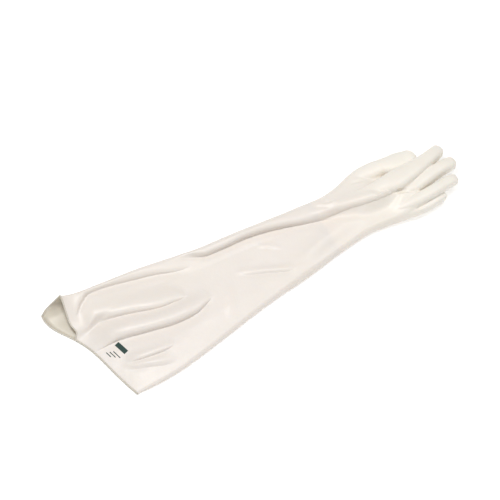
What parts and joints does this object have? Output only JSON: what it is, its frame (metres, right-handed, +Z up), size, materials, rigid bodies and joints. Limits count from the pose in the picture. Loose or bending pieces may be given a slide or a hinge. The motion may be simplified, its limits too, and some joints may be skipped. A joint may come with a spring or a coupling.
{
  "type": "glovebox glove",
  "caption": "Long tapering rubber gauntlet with a wide open cuff and a bead along its rim, ending in a five-fingered right hand; lies nearly flat with folds in the cuff.",
  "frame": {"origin": "under the middle of the glove's plan outline, on the surface that the glove lies on", "axes": "+X from the mouth of the cuff to the fingertips, +Y to the thumb's side, +Z up, away from the surface and out of the back of the hand"},
  "size_m": [0.8502, 0.2401, 0.0489],
  "materials": {
    "rubber": "satin"
  },
  "bodies": {
    "root": {"glove": "rubber"}
  },
  "joints": []
}
